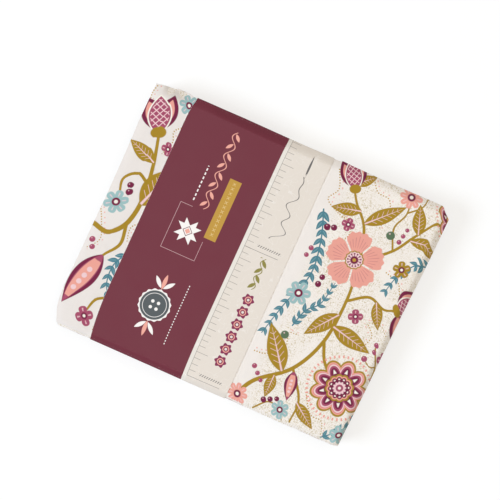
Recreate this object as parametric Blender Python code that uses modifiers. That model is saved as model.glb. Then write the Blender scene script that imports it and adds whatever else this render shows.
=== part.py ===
"""A bundle of sixteen fat quarters: each a cut of quilting cotton folded in two and then in three,
all stacked on one another and held by a band of printed paper. Metres, +Z up, the stack on z = 0,
its long side along X, and the origin in the middle of the footprint."""

import math
import random
from collections import namedtuple

import bmesh
import bpy

# One fat quarter is an 18 by 22.5 inch cut. Folded in two it makes a doubled sheet, and that is
# folded in three: the folds run along X, and the raw and the folded ends lie across it.
CUT_LENGTH = 0.5715
PANELS = 3
SHEET = 0.00042  # the doubled cotton
PANEL_PITCH = 0.0007  # from one panel of the doubled sheet to the next
QUARTER_GAP = 0.0004
QUARTERS = 16

QUARTER_PITCH = (PANELS - 1) * PANEL_PITCH + SHEET + QUARTER_GAP
STACK_HEIGHT = QUARTERS * QUARTER_PITCH - QUARTER_GAP
LOOSE_FOLD = 0.0022  # what a fold adds to its panels
FOLD_LINE = CUT_LENGTH / PANELS / 2 + LOOSE_FOLD  # from y = 0 to the folds on either side

# The ends of the stack at y = 0, and how much they lean: the shift along X for each metre of y.
RAW_END = -0.1200
RAW_END_LEAN = 0.0168
FOLDED_END = 0.1170
FOLDED_END_LEAN = 0.0475
END_ROLL = 0.0075
RAW_CORNER_IN = 0.0045  # how far the raw end's near corner is drawn in

# The paper band: a closed loop across the stack, over its folds.
BAND_LEFT = -0.0894
BAND_RIGHT = 0.0232
BAND_LEAN = 0.0200
BAND_PAPER = 0.0005
BAND_CLEARANCE = 0.0004
BAND_CORNER = 0.0016  # the radius of its rounded edges
BAND_CORNER_STEPS = 3
BAND_EASE = 0.0100  # how far beside the band the stack has its full height again

# How far the stack is drawn down along its edges, and how far the band presses it.
TOP_ROLL = 0.0025
BOTTOM_ROLL = 0.0010
TOP_PRESS = 0.0004
BOTTOM_PRESS = 0.0008
Roll = namedtuple("Roll", "inside share")
ROLL = (Roll(0.0120, 0.00), Roll(0.0055, 0.15), Roll(0.0025, 0.50), Roll(0.0000, 1.00))

FOLD_RADIUS = PANEL_PITCH / 2
FOLD_STEPS = 3
PANEL_SQUARES = 2 * len(ROLL) - 1  # across a panel: its flat middle, and the roll at either side
UNEVEN_FOLD = 0.0004  # how far a fold may lie in or out of line
UNEVEN_END = 0.0009  # how far a quarter's ends may lie inside the outline
FREE_EDGE_IN = (0.0006, 0.0020)  # how far a panel's free edge lies inside the folds

# Lines across the stack, from its raw end to its folded end: where each crosses y = 0 and how it
# leans, its share of the edge's roll and of the band's press, how far the folds on the far side
# (+Y) and the near side (-Y) lie inside the fold line, and how far its near end is drawn in.
Line = namedtuple("Line", "x lean roll press far_in near_in corner_in")
LINES = (
    Line(RAW_END, RAW_END_LEAN, 0.5, 0.0, 0.0014, 0.0012, RAW_CORNER_IN),
    Line(RAW_END + END_ROLL, RAW_END_LEAN, 0.1, 0.0, 0.0002, 0.0002, RAW_CORNER_IN / 4),
    Line(BAND_LEFT - BAND_EASE, BAND_LEAN, 0.0, 0.0, 0.0, 0.0, 0.0),
    Line(BAND_LEFT, BAND_LEAN, 0.0, 1.0, 0.0, 0.0, 0.0),
    Line(BAND_RIGHT, BAND_LEAN, 0.0, 1.0, 0.0, 0.0, 0.0),
    Line(BAND_RIGHT + BAND_EASE, BAND_LEAN, 0.0, 0.0, 0.0, 0.0, 0.0),
    Line(FOLDED_END - END_ROLL, FOLDED_END_LEAN, 0.1, 0.0, 0.0006, 0.0002, 0.0),
    Line(FOLDED_END, FOLDED_END_LEAN, 0.5, 0.0, 0.0079, 0.0012, 0.0),
)
UNDER_BAND = next(line for line in LINES if line.press == 1.0)

# Colours of the cloths from the bottom of the stack to the top, and of the paper.
CLOTH_COLOURS = (
    (0.86, 0.83, 0.78),
    (0.20, 0.27, 0.18),
    (0.72, 0.36, 0.31),
    (0.19, 0.02, 0.07),
    (0.84, 0.79, 0.73),
    (0.41, 0.30, 0.05),
    (0.12, 0.27, 0.31),
    (0.79, 0.58, 0.55),
    (0.48, 0.15, 0.21),
    (0.88, 0.86, 0.82),
    (0.46, 0.60, 0.58),
    (0.62, 0.49, 0.22),
    (0.30, 0.05, 0.11),
    (0.80, 0.47, 0.40),
    (0.86, 0.80, 0.72),
    (0.88, 0.84, 0.80),
)
CLOTH_ROUGHNESS = 0.85
PAPER_COLOUR = (0.20, 0.052, 0.071)
PAPER_ROUGHNESS = 0.6


def fresh_collection(name):
    """Empties the scene, then makes the collection that holds the bundle."""
    for old in list(bpy.data.objects):
        bpy.data.objects.remove(old)
    collection = bpy.data.collections.new(name)
    bpy.context.scene.collection.children.link(collection)
    return collection


def matte_material(name, colour, roughness):
    material = bpy.data.materials.new(name)
    material.use_nodes = True
    shader = material.node_tree.nodes["Principled BSDF"]
    shader.inputs["Base Color"].default_value = (*colour, 1.0)
    shader.inputs["Roughness"].default_value = roughness
    shader.inputs["Metallic"].default_value = 0.0
    return material


def side_roll(inside):
    """The share of the roll at this distance inside the folds. Past them it goes on growing."""
    if inside >= ROLL[0].inside:
        return 0.0
    for outer, inner in zip(ROLL, ROLL[1:]):
        if inside >= inner.inside:
            break
    slope = (inner.share - outer.share) / (outer.inside - inner.inside)
    return outer.share + slope * (outer.inside - inside)


def folds_at(line):
    """How far from y = 0 the folds lie on a line: the far side is 1, and the near side -1."""
    return {1: FOLD_LINE - line.far_in, -1: FOLD_LINE - line.near_in}


def settled(line, y, height):
    """The place in the pressed stack of a point at this height in a straight one."""
    inside = folds_at(line)[1 if y > 0 else -1] - abs(y)
    side = side_roll(inside)
    x = line.x + line.lean * y
    if y < 0:
        x += line.corner_in * side
    roll = 1.0 - (1.0 - line.roll) * (1.0 - side)
    top = STACK_HEIGHT - TOP_ROLL * roll - TOP_PRESS * line.press
    bottom = BOTTOM_ROLL * roll + BOTTOM_PRESS * line.press
    return x, y, bottom + (top - bottom) * height / STACK_HEIGHT


def folded_section(line, base, uneven):
    """(y, height) down one quarter's section: along the top panel to the far fold, back along the
    middle one to the near fold, and along the bottom one to its free edge."""
    folds = folds_at(line)
    rolls = [roll.inside for roll in ROLL[:-1]]
    section = []
    for panel in range(PANELS):
        ahead = 1 if panel % 2 == 0 else -1
        height = base + SHEET / 2 + (PANELS - 1 - panel) * PANEL_PITCH
        if panel == 0:
            section.append((-ahead * (folds[-ahead] - uneven["top edge"]), height))
        section += [(-ahead * (folds[-ahead] - inside), height) for inside in reversed(rolls)]
        section += [(ahead * (folds[ahead] - inside), height) for inside in rolls]
        if panel == PANELS - 1:
            section.append((ahead * (folds[ahead] - uneven["bottom edge"]), height))
        else:
            centre = folds[ahead] + uneven["folds"][panel] - FOLD_RADIUS
            for step in range(FOLD_STEPS + 1):
                turn = math.pi * step / FOLD_STEPS
                out = centre + FOLD_RADIUS * math.sin(turn)
                down = FOLD_RADIUS * (1 - math.cos(turn))
                section.append((ahead * out, height - down))
    return section


def split_squares(shape, down):
    """Halves the grid's squares, the other way in the panel that runs back, so that the panels lie
    evenly on one another."""
    forth = []
    back = []
    for face in shape.faces:
        place = (face.calc_center_median().y + 1) / 2 * down
        runs_back = PANEL_SQUARES + FOLD_STEPS < place < 2 * PANEL_SQUARES + FOLD_STEPS
        (back if runs_back else forth).append(face)
    bmesh.ops.triangulate(shape, faces=forth, quad_method="FIXED")
    bmesh.ops.triangulate(shape, faces=back, quad_method="ALTERNATE")


def add_sheet(name, collection, material, shape, thickness, offset):
    """Turns a surface into an object, and gives it the sheet's thickness."""
    mesh = bpy.data.meshes.new(name)
    shape.to_mesh(mesh)
    shape.free()
    mesh.materials.append(material)
    sheet = bpy.data.objects.new(name, mesh)
    collection.objects.link(sheet)
    solid = sheet.modifiers.new("Thickness", "SOLIDIFY")
    solid.thickness = thickness
    solid.offset = offset
    solid.use_even_offset = True


def fat_quarter(number, collection, chance):
    """One quarter, counted from the bottom of the stack: a grid folded over the lines of the stack.
    The top one fills the outline, and the others lie a little inside it."""
    uneven = {
        "folds": [chance.uniform(-UNEVEN_FOLD, UNEVEN_FOLD / 2) for _ in range(PANELS - 1)],
        "top edge": chance.uniform(*FREE_EDGE_IN),
        "bottom edge": chance.uniform(*FREE_EDGE_IN),
        "raw end": chance.uniform(0.0, UNEVEN_END),
        "folded end": chance.uniform(0.0, UNEVEN_END),
    }
    if number == QUARTERS - 1:
        uneven.update({"folds": [UNEVEN_FOLD, 0.0], "raw end": 0.0, "folded end": 0.0})
    raw, *inner, folded = LINES
    lines = [
        raw._replace(x=raw.x + uneven["raw end"]),
        *inner,
        folded._replace(x=folded.x - uneven["folded end"]),
    ]
    rows = []
    for line in lines:
        section = folded_section(line, number * QUARTER_PITCH, uneven)
        rows.append([settled(line, y, height) for y, height in section])
    along = len(rows) - 1
    down = len(rows[0]) - 1
    shape = bmesh.new()
    bmesh.ops.create_grid(shape, x_segments=along, y_segments=down, size=1.0)
    split_squares(shape, down)
    for corner in shape.verts:
        row = round((corner.co.x + 1) / 2 * along)
        place = round((corner.co.y + 1) / 2 * down)
        corner.co = rows[row][place]
    cotton = matte_material(f"cotton_{number + 1:02d}", CLOTH_COLOURS[number], CLOTH_ROUGHNESS)
    add_sheet(f"fat_quarter_{number + 1:02d}", collection, cotton, shape, SHEET, 0.0)


def quarter_turn(y, z, from_turn):
    """Points round one rounded edge of the band, centred on (y, z), from this turn on."""
    turns = [from_turn - math.pi / 2 * step / BAND_CORNER_STEPS for step in range(BAND_CORNER_STEPS + 1)]
    return [(y + BAND_CORNER * math.cos(turn), z + BAND_CORNER * math.sin(turn)) for turn in turns]


def band_outline():
    """(y, z) round the outside of the band: from the middle of the top over the far edge to the
    middle of the underside, and the same mirrored back up the near side."""
    outside = BAND_CLEARANCE + BAND_PAPER
    corner_y = FOLD_LINE + UNEVEN_FOLD + SHEET / 2 + outside - BAND_CORNER
    top_z = settled(UNDER_BAND, corner_y, STACK_HEIGHT)[2] + outside
    under_z = settled(UNDER_BAND, corner_y, 0.0)[2] - outside
    rolls = [FOLD_LINE - roll.inside for roll in ROLL[:-1]]
    half = [(y, settled(UNDER_BAND, y, STACK_HEIGHT)[2] + outside) for y in rolls]
    half += quarter_turn(corner_y, top_z - BAND_CORNER, math.pi / 2)
    half += quarter_turn(corner_y, under_z + BAND_CORNER, 0.0)
    half += [(y, max(0.0, settled(UNDER_BAND, y, 0.0)[2] - outside)) for y in reversed(rolls)]
    return half + [(-y, z) for y, z in reversed(half)]


def paper_band(collection):
    """The band: an open tube with one side for each stretch of its outline, thickened inwards."""
    outline = band_outline()
    sides = len(outline)
    shape = bmesh.new()
    bmesh.ops.create_cone(
        shape, cap_ends=False, segments=sides, radius1=1.0, radius2=1.0, depth=2.0
    )
    for corner in shape.verts:
        place = round(math.atan2(corner.co.x, corner.co.y) / (2 * math.pi) * sides) % sides
        y, z = outline[place]
        end = BAND_LEFT if corner.co.z < 0 else BAND_RIGHT
        corner.co = (end + BAND_LEAN * y, y, z)
    paper = matte_material("printed_paper", PAPER_COLOUR, PAPER_ROUGHNESS)
    add_sheet("paper_band", collection, paper, shape, BAND_PAPER, -1.0)


def main():
    collection = fresh_collection("fat quarter bundle")
    chance = random.Random(16)
    for number in range(QUARTERS):
        fat_quarter(number, collection, chance)
    paper_band(collection)


main()
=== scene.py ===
import math
import random

import bpy
import numpy as np
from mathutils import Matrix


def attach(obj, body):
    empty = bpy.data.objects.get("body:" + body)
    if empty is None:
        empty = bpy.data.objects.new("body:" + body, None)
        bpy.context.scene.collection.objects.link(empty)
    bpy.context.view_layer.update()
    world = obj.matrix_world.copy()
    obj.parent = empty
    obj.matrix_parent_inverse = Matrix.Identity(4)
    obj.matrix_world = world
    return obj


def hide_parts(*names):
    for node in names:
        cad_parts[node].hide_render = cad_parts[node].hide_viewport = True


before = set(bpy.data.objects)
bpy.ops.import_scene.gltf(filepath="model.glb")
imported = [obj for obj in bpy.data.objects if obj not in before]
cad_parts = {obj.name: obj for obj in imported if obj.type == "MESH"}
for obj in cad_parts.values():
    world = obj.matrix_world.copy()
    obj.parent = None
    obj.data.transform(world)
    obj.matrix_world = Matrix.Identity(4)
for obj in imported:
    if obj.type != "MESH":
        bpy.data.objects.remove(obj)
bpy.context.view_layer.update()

print("cad frame loaded:", len(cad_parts), "nodes")

# the bundle as it lies, in metres
stack = {
    "quarters": 16,
    "cutHeight": 0.4572,  # 18 inches, folded in two along x
    "cutLength": 0.5715,  # 22.5 inches, folded in three along y
    "panels": 3,
    "doubled": 0.00042,  # two layers lying together
    "cotton": 0.00020,  # and one
    "panelPitch": 0.0007,
    "quarterGap": 0.0004,
    "looseFold": 0.0022,
    "rawEnd": -0.1200,
    "rawLean": 0.0168,  # shift along x for each metre of y
    "foldedEnd": 0.1170,
    "foldedLean": 0.0475,
    "topRoll": 0.0038,  # how far the top falls at the far folds
    "bottomRoll": 0.0010,
    "topPress": 0.0004,  # what the band squeezes out
    "bottomPress": 0.0008,
    "bandEase": 0.0100,
    "swell": 0.00022,  # soft unevenness of the upper side
    "unevenFold": 0.0004,
    "unevenEnd": 0.0009,
    "freeEdgeIn": (0.0006, 0.0020),
    "ripple": 0.00018,  # of the folds beside the band
    "wander": 0.00022,  # of the ends
    "bulgeFade": 0.3,  # less for each quarter further down
    "seed": 16,
}
# waves of the upper side, per metre: along x, along y, where they start, how high
swellWaves = ((38, 21, 0.7, 1.0), (-27, 52, 2.1, 0.7), (71, -33, 4.0, 0.5), (44, 96, 1.3, 0.35))
quarterPitch = (stack["panels"] - 1) * stack["panelPitch"] + stack["doubled"] + stack["quarterGap"]
stackHeight = stack["quarters"] * quarterPitch - stack["quarterGap"]
foldLine = stack["cutLength"] / stack["panels"] / 2 + stack["looseFold"]
foldRadius = stack["panelPitch"] / 2


def table(columns, *rows):
    # each row as a dictionary under the columns' names
    return [dict(zip(columns.split(), row)) for row in rows]


# how far out the folds lie along x, and how far the upper quarters bulge over the far side
outline = table(
    "x far near bulge",
    (-0.1200, -0.0014, -0.0007, 0.0000),
    (-0.1125, -0.0004, -0.0008, 0.0002),
    (-0.1054, 0.0000, -0.0006, 0.0005),
    (-0.1039, 0.0000, -0.0006, 0.0017),
    (-0.0944, 0.0000, -0.0007, 0.0015),
    (-0.0905, 0.0004, -0.0011, 0.0000),
    (-0.0450, 0.0004, -0.0008, 0.0000),
    (0.0000, -0.0004, -0.0004, 0.0000),
    (0.0262, -0.0004, -0.0004, 0.0000),
    (0.0282, 0.0000, 0.0000, 0.0006),
    (0.0364, 0.0000, 0.0002, 0.0000),
    (0.1095, -0.0006, 0.0006, 0.0000),
    (0.1125, -0.0042, 0.0008, 0.0000),
    (0.1170, -0.0079, -0.0004, 0.0000),
)
# how far the raw end lies inside its straight line, from the near side to the far one
rawShape = table(
    "y in",
    (-0.0980, 0.0071),
    (-0.0950, 0.0057),
    (-0.0900, 0.0036),
    (-0.0850, 0.0017),
    (-0.0790, 0.0004),
    (-0.0680, -0.0005),
    (-0.0250, 0.0003),
    (0.0050, 0.0010),
    (0.0350, 0.0005),
    (0.0650, -0.0002),
    (0.0950, 0.0004),
)

# the strip along the far folds: its width, and its fall as a share of the whole
farRoll = table(
    "x width fall",
    (-0.1200, 0.0080, 0.50),
    (-0.1110, 0.0080, 0.60),
    (-0.1065, 0.0076, 1.70),
    (-0.0955, 0.0076, 1.85),
    (-0.0894, 0.0070, 0.62),
    (-0.0750, 0.0060, 0.60),
    (-0.0650, 0.0064, 1.00),
    (-0.0286, 0.0070, 1.08),
    (0.0114, 0.0064, 1.00),
    (0.0314, 0.0058, 0.95),
    (0.0714, 0.0050, 0.90),
    (0.1120, 0.0056, 0.95),
)
# and along the other three sides, each widening towards the far one
sideRolls = {
    "near": {"width": 0.0038, "widening": 0.000, "fall": 0.72, "power": 1.35},
    "folded": {"width": 0.0037, "widening": 0.011, "fall": 1.05, "power": 0.85},
    "raw": {"width": 0.0060, "widening": 0.000, "fall": 0.18, "power": 1.60},
}
farPower = 1.35

band = {
    "left": -0.0894,
    "right": 0.0232,
    "lean": 0.0200,
    "squeeze": 0.0004,  # how far it draws the folds in
    "drift": 0.0008,  # how far its left edge lies towards the far side
    # its left edge draws in towards the corners: from how far out, over what length, how far
    "farCorner": (0.080, 0.016, 0.0016),
    "nearCorner": (0.060, 0.036, 0.0031),
    "driftLead": 0.9,  # how much further the far side drifts
    "paper": 0.00030,
    "clearance": 0.00025,
    "corner": 0.0016,
    "underCorner": 0.0012,
    "bow": 0.0002,  # how far the sides bulge
    "lap": 0.0160,
    "lapGap": 0.00002,
    "strip": 0.0064,  # the falling strip of the path, before it follows the cloth's
    "lift": 0.0040,  # below this height the path is kept
    "columns": 44,
}


def lookUp(rows, key, value, column):
    return np.interp(value, [row[key] for row in rows], [row[column] for row in rows])


def rawAt(y):
    return stack["rawEnd"] + stack["rawLean"] * y + lookUp(rawShape, "y", y, "in")


def fallingShare(inside, width, share, power):
    return share * np.clip(1.0 - inside / width, 0.0, 1.1) ** power


def bandPress(x, y):
    # 1 under the band, easing to 0 beside it
    across = x - band["lean"] * y
    beside = np.maximum(band["left"] - across, across - band["right"])
    ease = np.clip(1.0 - beside / stack["bandEase"], 0.0, 1.0)
    return ease * ease * (3.0 - 2.0 * ease)


def softSwell(x, y):
    waves = sum(high * np.sin(alongX * x + alongY * y + start) for alongX, alongY, start, high in swellWaves)
    return stack["swell"] * waves / 2


def rollAt(x, y):
    # how far the upper side has fallen here, as a share of the whole fall
    far = foldLine + lookUp(outline, "x", x - stack["foldedLean"] * y * (x > 0), "far") - y
    near = foldLine + lookUp(outline, "x", x, "near") + y
    folded = stack["foldedEnd"] + stack["foldedLean"] * y - x
    raw = x - rawAt(y)
    width = lookUp(farRoll, "x", x, "width")
    left = 1.0 - fallingShare(far, width, lookUp(farRoll, "x", x, "fall"), farPower)
    for inside, side in ((near, "near"), (folded, "folded"), (raw, "raw")):
        row = sideRolls[side]
        width = row["width"] + row["widening"] * y
        left = left * (1.0 - fallingShare(inside, width, row["fall"], row["power"]))
    return 1.0 - left


def settle(x, y, height):
    # where a point at this height of a straight stack comes to lie in the pressed one
    roll = rollAt(x, y)
    press = bandPress(x, y)
    level = softSwell(x, y) * (1.0 - press) * np.clip(1.0 - roll, 0.0, 1.0)
    top = stackHeight - stack["topRoll"] * roll - stack["topPress"] * press + level
    bottom = stack["bottomRoll"] * roll + stack["bottomPress"] * press
    return bottom + (top - bottom) * height / stackHeight


def deselectAll():
    for thing in bpy.context.selected_objects:
        thing.select_set(False)


def evenSteps(count):
    return np.linspace(0.0, 1.0, count + 1)


def edgeSteps(count):
    # closer together towards both ends
    step = evenSteps(count)
    return 0.3 * step + 0.7 * (0.5 - 0.5 * np.cos(np.pi * step))


def downTheFolds(panelSteps, foldCells):
    # stations down a quarter's section: panel, place across it (0 near, 1 far), the step out of a
    # fold and down from its panel, the way the outer layer looks, and the flat length so far
    panelLength = stack["cutLength"] / stack["panels"]
    stations = []
    for panel, steps in enumerate(panelSteps):
        ahead = 1 if panel % 2 == 0 else -1
        for step in steps:
            place = step if ahead > 0 else 1 - step
            stations.append((panel, place, 0.0, 0.0, 0.0, ahead, (panel + step) * panelLength))
        if panel < stack["panels"] - 1:
            place = 1 if ahead > 0 else 0
            for step in range(1, foldCells):
                turn = math.pi * step / foldCells
                out = foldRadius * math.sin(turn) * ahead
                down = foldRadius * (1 - math.cos(turn))
                stations.append((
                    panel, place, out, down, math.sin(turn), ahead * math.cos(turn),
                    (panel + 1) * panelLength + (step / foldCells - 0.5) * 0.0004,
                ))
    return np.array(stations)


def alongTheSheet(upperSteps, foldCells, lowerSteps):
    # stations from raw end to raw end round the half fold: place (0 raw, 1 folded), the step out
    # of the fold, the distance from the doubled sheet's middle, and the flat length so far
    half = stack["cutHeight"] / 2
    apart = (stack["doubled"] - stack["cotton"]) / 2
    stations = [(step, 0.0, apart, step * half) for step in upperSteps]
    for step in range(1, foldCells):
        turn = math.pi * step / foldCells
        flat = half + (step / foldCells - 0.5) * 0.0002
        stations.append((1.0, apart * math.sin(turn), apart * math.cos(turn), flat))
    stations += [(step, 0.0, -apart, (2 - step) * half) for step in reversed(lowerSteps)]
    return np.array(stations)


def addGrid(name, columns, rows):
    # a flat sheet, with the column and the row of each of its points
    deselectAll()
    bpy.ops.mesh.primitive_grid_add(x_subdivisions=columns, y_subdivisions=rows, size=2.0)
    sheet = bpy.context.object
    sheet.name = name
    sheet.data.name = name
    points = np.empty(len(sheet.data.vertices) * 3)
    sheet.data.vertices.foreach_get("co", points)
    column = np.rint((points[0::3] + 1) / 2 * columns).astype(int)
    row = np.rint((points[1::3] + 1) / 2 * rows).astype(int)
    return sheet, column, row


def shapeSheet(sheet, places, flat):
    # moves the points to their places, and maps the corners to theirs on the flat sheet
    mesh = sheet.data
    mesh.vertices.foreach_set("co", np.column_stack(places).ravel())
    corners = np.empty(len(mesh.loops), dtype=np.int32)
    mesh.loops.foreach_get("vertex_index", corners)
    mesh.uv_layers.active.uv.foreach_set("vector", np.column_stack(flat)[corners].ravel())
    mesh.update()


def drawUneven(number, chance):
    # how a cut differs from its neighbours, drawn in the order in which the solids draw theirs
    loose = stack["unevenFold"]
    uneven = {
        "far": chance.uniform(-loose, loose / 2),
        "near": chance.uniform(-loose, loose / 2),
        "topEdge": chance.uniform(*stack["freeEdgeIn"]),
        "bottomEdge": chance.uniform(*stack["freeEdgeIn"]),
        "raw": chance.uniform(0.0, stack["unevenEnd"]),
        "folded": chance.uniform(0.0, stack["unevenEnd"]),
    }
    if number == stack["quarters"] - 1:
        uneven.update(far=loose, near=0.0, raw=0.0, folded=0.0)
    return uneven


def foldCloth(name, number, lengthwise, section, chance):
    # a flat grid with one square for each station, folded into its place in the stack
    cloth, column, row = addGrid(name, len(lengthwise) - 1, len(section) - 1)
    place, endOut, layer, flatX = lengthwise[column].T
    panel, across, foldOut, down, outerY, outerZ, flatY = section[row].T
    uneven = drawUneven(number, chance)
    phase = 2.4 * number
    above = stack["quarters"] - 1 - number

    guess = stack["rawEnd"] + place * (stack["foldedEnd"] - stack["rawEnd"])
    beside = 1.0 - bandPress(guess, np.zeros_like(guess))
    bulge = lookUp(outline, "x", guess, "bulge") * max(0.0, 1.0 - above * stack["bulgeFade"])
    ripple = stack["ripple"] * beside * np.sin(guess * 95 + phase)
    far = foldLine + lookUp(outline, "x", guess, "far") + bulge + ripple
    near = foldLine + lookUp(outline, "x", guess, "near") - 0.6 * ripple
    low = np.where(panel == 0, -(near - uneven["topEdge"]), -(near + uneven["near"] - foldRadius))
    high = np.where(panel == 2, far - uneven["bottomEdge"], far + uneven["far"] - foldRadius)
    y = low + (high - low) * across + foldOut + outerY * layer
    wander = stack["wander"] * np.sin(y * 60 + phase + 1.7 * panel)
    fray = np.where(layer > 0, 0.0, 0.0004) + 0.0003 * panel
    rawX = rawAt(y) + uneven["raw"] + (wander + fray)
    foldedX = stack["foldedEnd"] + stack["foldedLean"] * y - uneven["folded"] + wander - 0.0002 * panel
    x = rawX + place * (foldedX - rawX) + endOut
    base = number * quarterPitch + stack["doubled"] / 2
    height = base + (stack["panels"] - 1 - panel) * stack["panelPitch"] - down + outerZ * layer
    shapeSheet(cloth, (x, y, settle(x, y, height)), (flatX, flatY))
    return cloth


def thicken(piece, thickness, offset=0.0):
    deselectAll()
    piece.select_set(True)
    bpy.context.view_layer.objects.active = piece
    solid = piece.modifiers.new("Thickness", "SOLIDIFY")
    solid.thickness = thickness
    solid.offset = offset
    solid.use_even_offset = True
    bpy.ops.object.modifier_apply(modifier=solid.name)
    bpy.ops.object.shade_smooth_by_angle(angle=math.radians(50))


def srgb(red, green, blue):
    # 0 to 255, as a paint chart gives them, to the linear values that a shader takes
    def linear(value):
        value = value / 255
        return value / 12.92 if value <= 0.04045 else ((value + 0.055) / 1.055) ** 2.4
    return (linear(red), linear(green), linear(blue), 1.0)


# paints of the cloths
inks = {
    "ground": srgb(241, 234, 228),
    # painted shade: the left strip's ground is the same print, laid darker and pinker to stand for the light
    # falling off there
    "groundLeftPaintedShade": srgb(235, 228, 223),
    "groundStippled": srgb(246, 239, 232),
    "stipple": srgb(192, 172, 122),
    "olive": srgb(169, 135, 38),
    "coral": srgb(236, 164, 150),
    "coralDark": srgb(212, 118, 110),
    "blush": srgb(240, 205, 208),
    "plum": srgb(120, 34, 68),
    "mauve": srgb(168, 78, 106),
    "teal": srgb(79, 131, 145),
    "paleBlue": srgb(157, 191, 192),
    "leafGreen": srgb(92, 116, 88),
    "gold": srgb(190, 150, 62),
    "cream": srgb(246, 240, 230),
}
# a motif's face corners carry the number of its kind
kinds = {name: number for number, name in enumerate((
    "leaf", "pod", "dahlia", "poppy", "tulip", "bluePosy", "coralPosy", "mauvePosy", "olivePosy",
    "plumBerry", "mauveBerry", "greenBerry",
))}


class Wire:
    # what a node gives, so that sums on it read as sums
    def __init__(self, painter, socket):
        self.painter = painter
        self.socket = socket

    def __add__(self, other):
        return self.painter.calc("ADD", self, other)

    def __radd__(self, other):
        return self.painter.calc("ADD", other, self)

    def __sub__(self, other):
        return self.painter.calc("SUBTRACT", self, other)

    def __rsub__(self, other):
        return self.painter.calc("SUBTRACT", other, self)

    def __mul__(self, other):
        return self.painter.calc("MULTIPLY", self, other)

    def __abs__(self):
        return self.painter.calc("ABSOLUTE", self)


class Painter:
    # builds one material: masks that go from 0 to 1, and paint laid on its ground with them
    def __init__(self, name, paints, ground):
        self.material = bpy.data.materials.new(name)
        self.material.use_nodes = True
        self.tree = self.material.node_tree
        self.shader = self.tree.nodes["Principled BSDF"]
        self.paints = paints
        self.colour = ground

    def plug(self, socket, value):
        # a wire, a number, or the name of a paint
        if isinstance(value, Wire):
            self.tree.links.new(value.socket, socket)
        else:
            socket.default_value = self.paints[value] if isinstance(value, str) else value

    def calc(self, operation, *values):
        node = self.tree.nodes.new("ShaderNodeMath")
        node.operation = operation
        for socket, value in zip(node.inputs, values):
            self.plug(socket, value)
        return Wire(self, node.outputs[0])

    def fract(self, a):
        return self.calc("FRACT", a)

    def wave(self, a):
        return self.calc("SINE", a)

    def reach(self, x, y):
        return self.calc("SQRT", x * x + y * y)

    def polar(self, x, y):
        return self.reach(x, y), self.calc("ARCTAN2", y, x)

    def clamped(self, a, b):
        # their sum, kept from 0 to 1
        made = a + b
        made.socket.node.use_clamp = True
        return made

    def below(self, value, limit, soft=0.02):
        # 1 where the value is under the limit, with a soft edge of this width
        return self.clamped((limit - value) * (1.0 / soft), 0.5)

    def between(self, value, low, high, soft=0.02):
        return self.below(value, high, soft) * self.flip(self.below(value, low, soft))

    def near(self, value, target, reach, soft=0.02):
        return self.below(abs(value - target), reach, soft)

    def both(self, *masks):
        made = masks[0]
        for mask in masks[1:]:
            made = made * mask
        return made

    def either(self, *masks):
        made = masks[0]
        for mask in masks[1:]:
            made = self.calc("MAXIMUM", made, mask)
        return made

    def flip(self, mask):
        return 1.0 - mask

    def kind(self, value, name):
        return self.calc("COMPARE", value, float(kinds[name]), 0.25)

    def split(self, vector):
        node = self.tree.nodes.new("ShaderNodeSeparateXYZ")
        self.plug(node.inputs[0], vector)
        return [Wire(self, socket) for socket in node.outputs]

    def join(self, x, y, z=0.0):
        node = self.tree.nodes.new("ShaderNodeCombineXYZ")
        for socket, value in zip(node.inputs, (x, y, z)):
            self.plug(socket, value)
        return Wire(self, node.outputs[0])

    def attribute(self, name):
        node = self.tree.nodes.new("ShaderNodeAttribute")
        node.attribute_name = name
        return self.split(Wire(self, node.outputs["Vector"]))

    def flatPlace(self):
        # the place on the flat cut, in metres
        node = self.tree.nodes.new("ShaderNodeUVMap")
        node.uv_map = "UVMap"
        return self.split(Wire(self, node.outputs["UV"]))[:2]

    def noise(self, vector, scale, detail):
        node = self.tree.nodes.new("ShaderNodeTexNoise")
        node.inputs["Scale"].default_value = scale
        node.inputs["Detail"].default_value = detail
        self.plug(node.inputs["Vector"], vector)
        return Wire(self, node.outputs["Fac"])

    def chance(self, value):
        # one settled draw from 0 to 1 for each whole number
        node = self.tree.nodes.new("ShaderNodeTexWhiteNoise")
        node.noise_dimensions = "1D"
        self.plug(node.inputs["W"], value)
        return Wire(self, node.outputs["Value"])

    def petal(self, angle, count, shift=0.0):
        # 0 in the middle of a petal, 1 between two
        part = self.fract(angle * (count / (2 * math.pi)) + (shift + 0.5))
        return abs(part - 0.5) * 2.0

    def mix(self, blend, under, colour, mask):
        node = self.tree.nodes.new("ShaderNodeMix")
        node.data_type = "RGBA"
        node.blend_type = blend
        for name, value in (("Factor", mask), ("A", under), ("B", colour)):
            self.plug(node.inputs[name], value)
        return Wire(self, node.outputs["Result"])

    def paint(self, under, colour, mask):
        return self.mix("MIX", under, colour, mask)

    def pick(self, kind, colour, **choices):
        # the colour, or the ink that is chosen for this kind
        for name, ink in choices.items():
            colour = self.paint(colour, ink, self.kind(kind, name))
        return colour

    def lay(self, colour, *masks):
        self.colour = self.paint(self.colour, colour, self.both(*masks))

    def shade(self, tone):
        # multiplies what is painted so far by a grey
        self.colour = self.mix("MULTIPLY", self.colour, self.join(tone, tone, tone), 1.0)

    def finish(self, height, depth, roughness, sheen=0.0):
        self.plug(self.shader.inputs["Base Color"], self.colour)
        self.plug(self.shader.inputs["Roughness"], roughness)
        self.shader.inputs["Specular IOR Level"].default_value = 0.25
        if sheen:
            self.shader.inputs["Sheen Weight"].default_value = sheen
            self.shader.inputs["Sheen Roughness"].default_value = 0.45
        bump = self.tree.nodes.new("ShaderNodeBump")
        bump.inputs["Strength"].default_value = 1.0
        bump.inputs["Distance"].default_value = depth
        self.plug(bump.inputs["Height"], height)
        self.tree.links.new(bump.outputs["Normal"], self.shader.inputs["Normal"])
        return self.material


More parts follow.
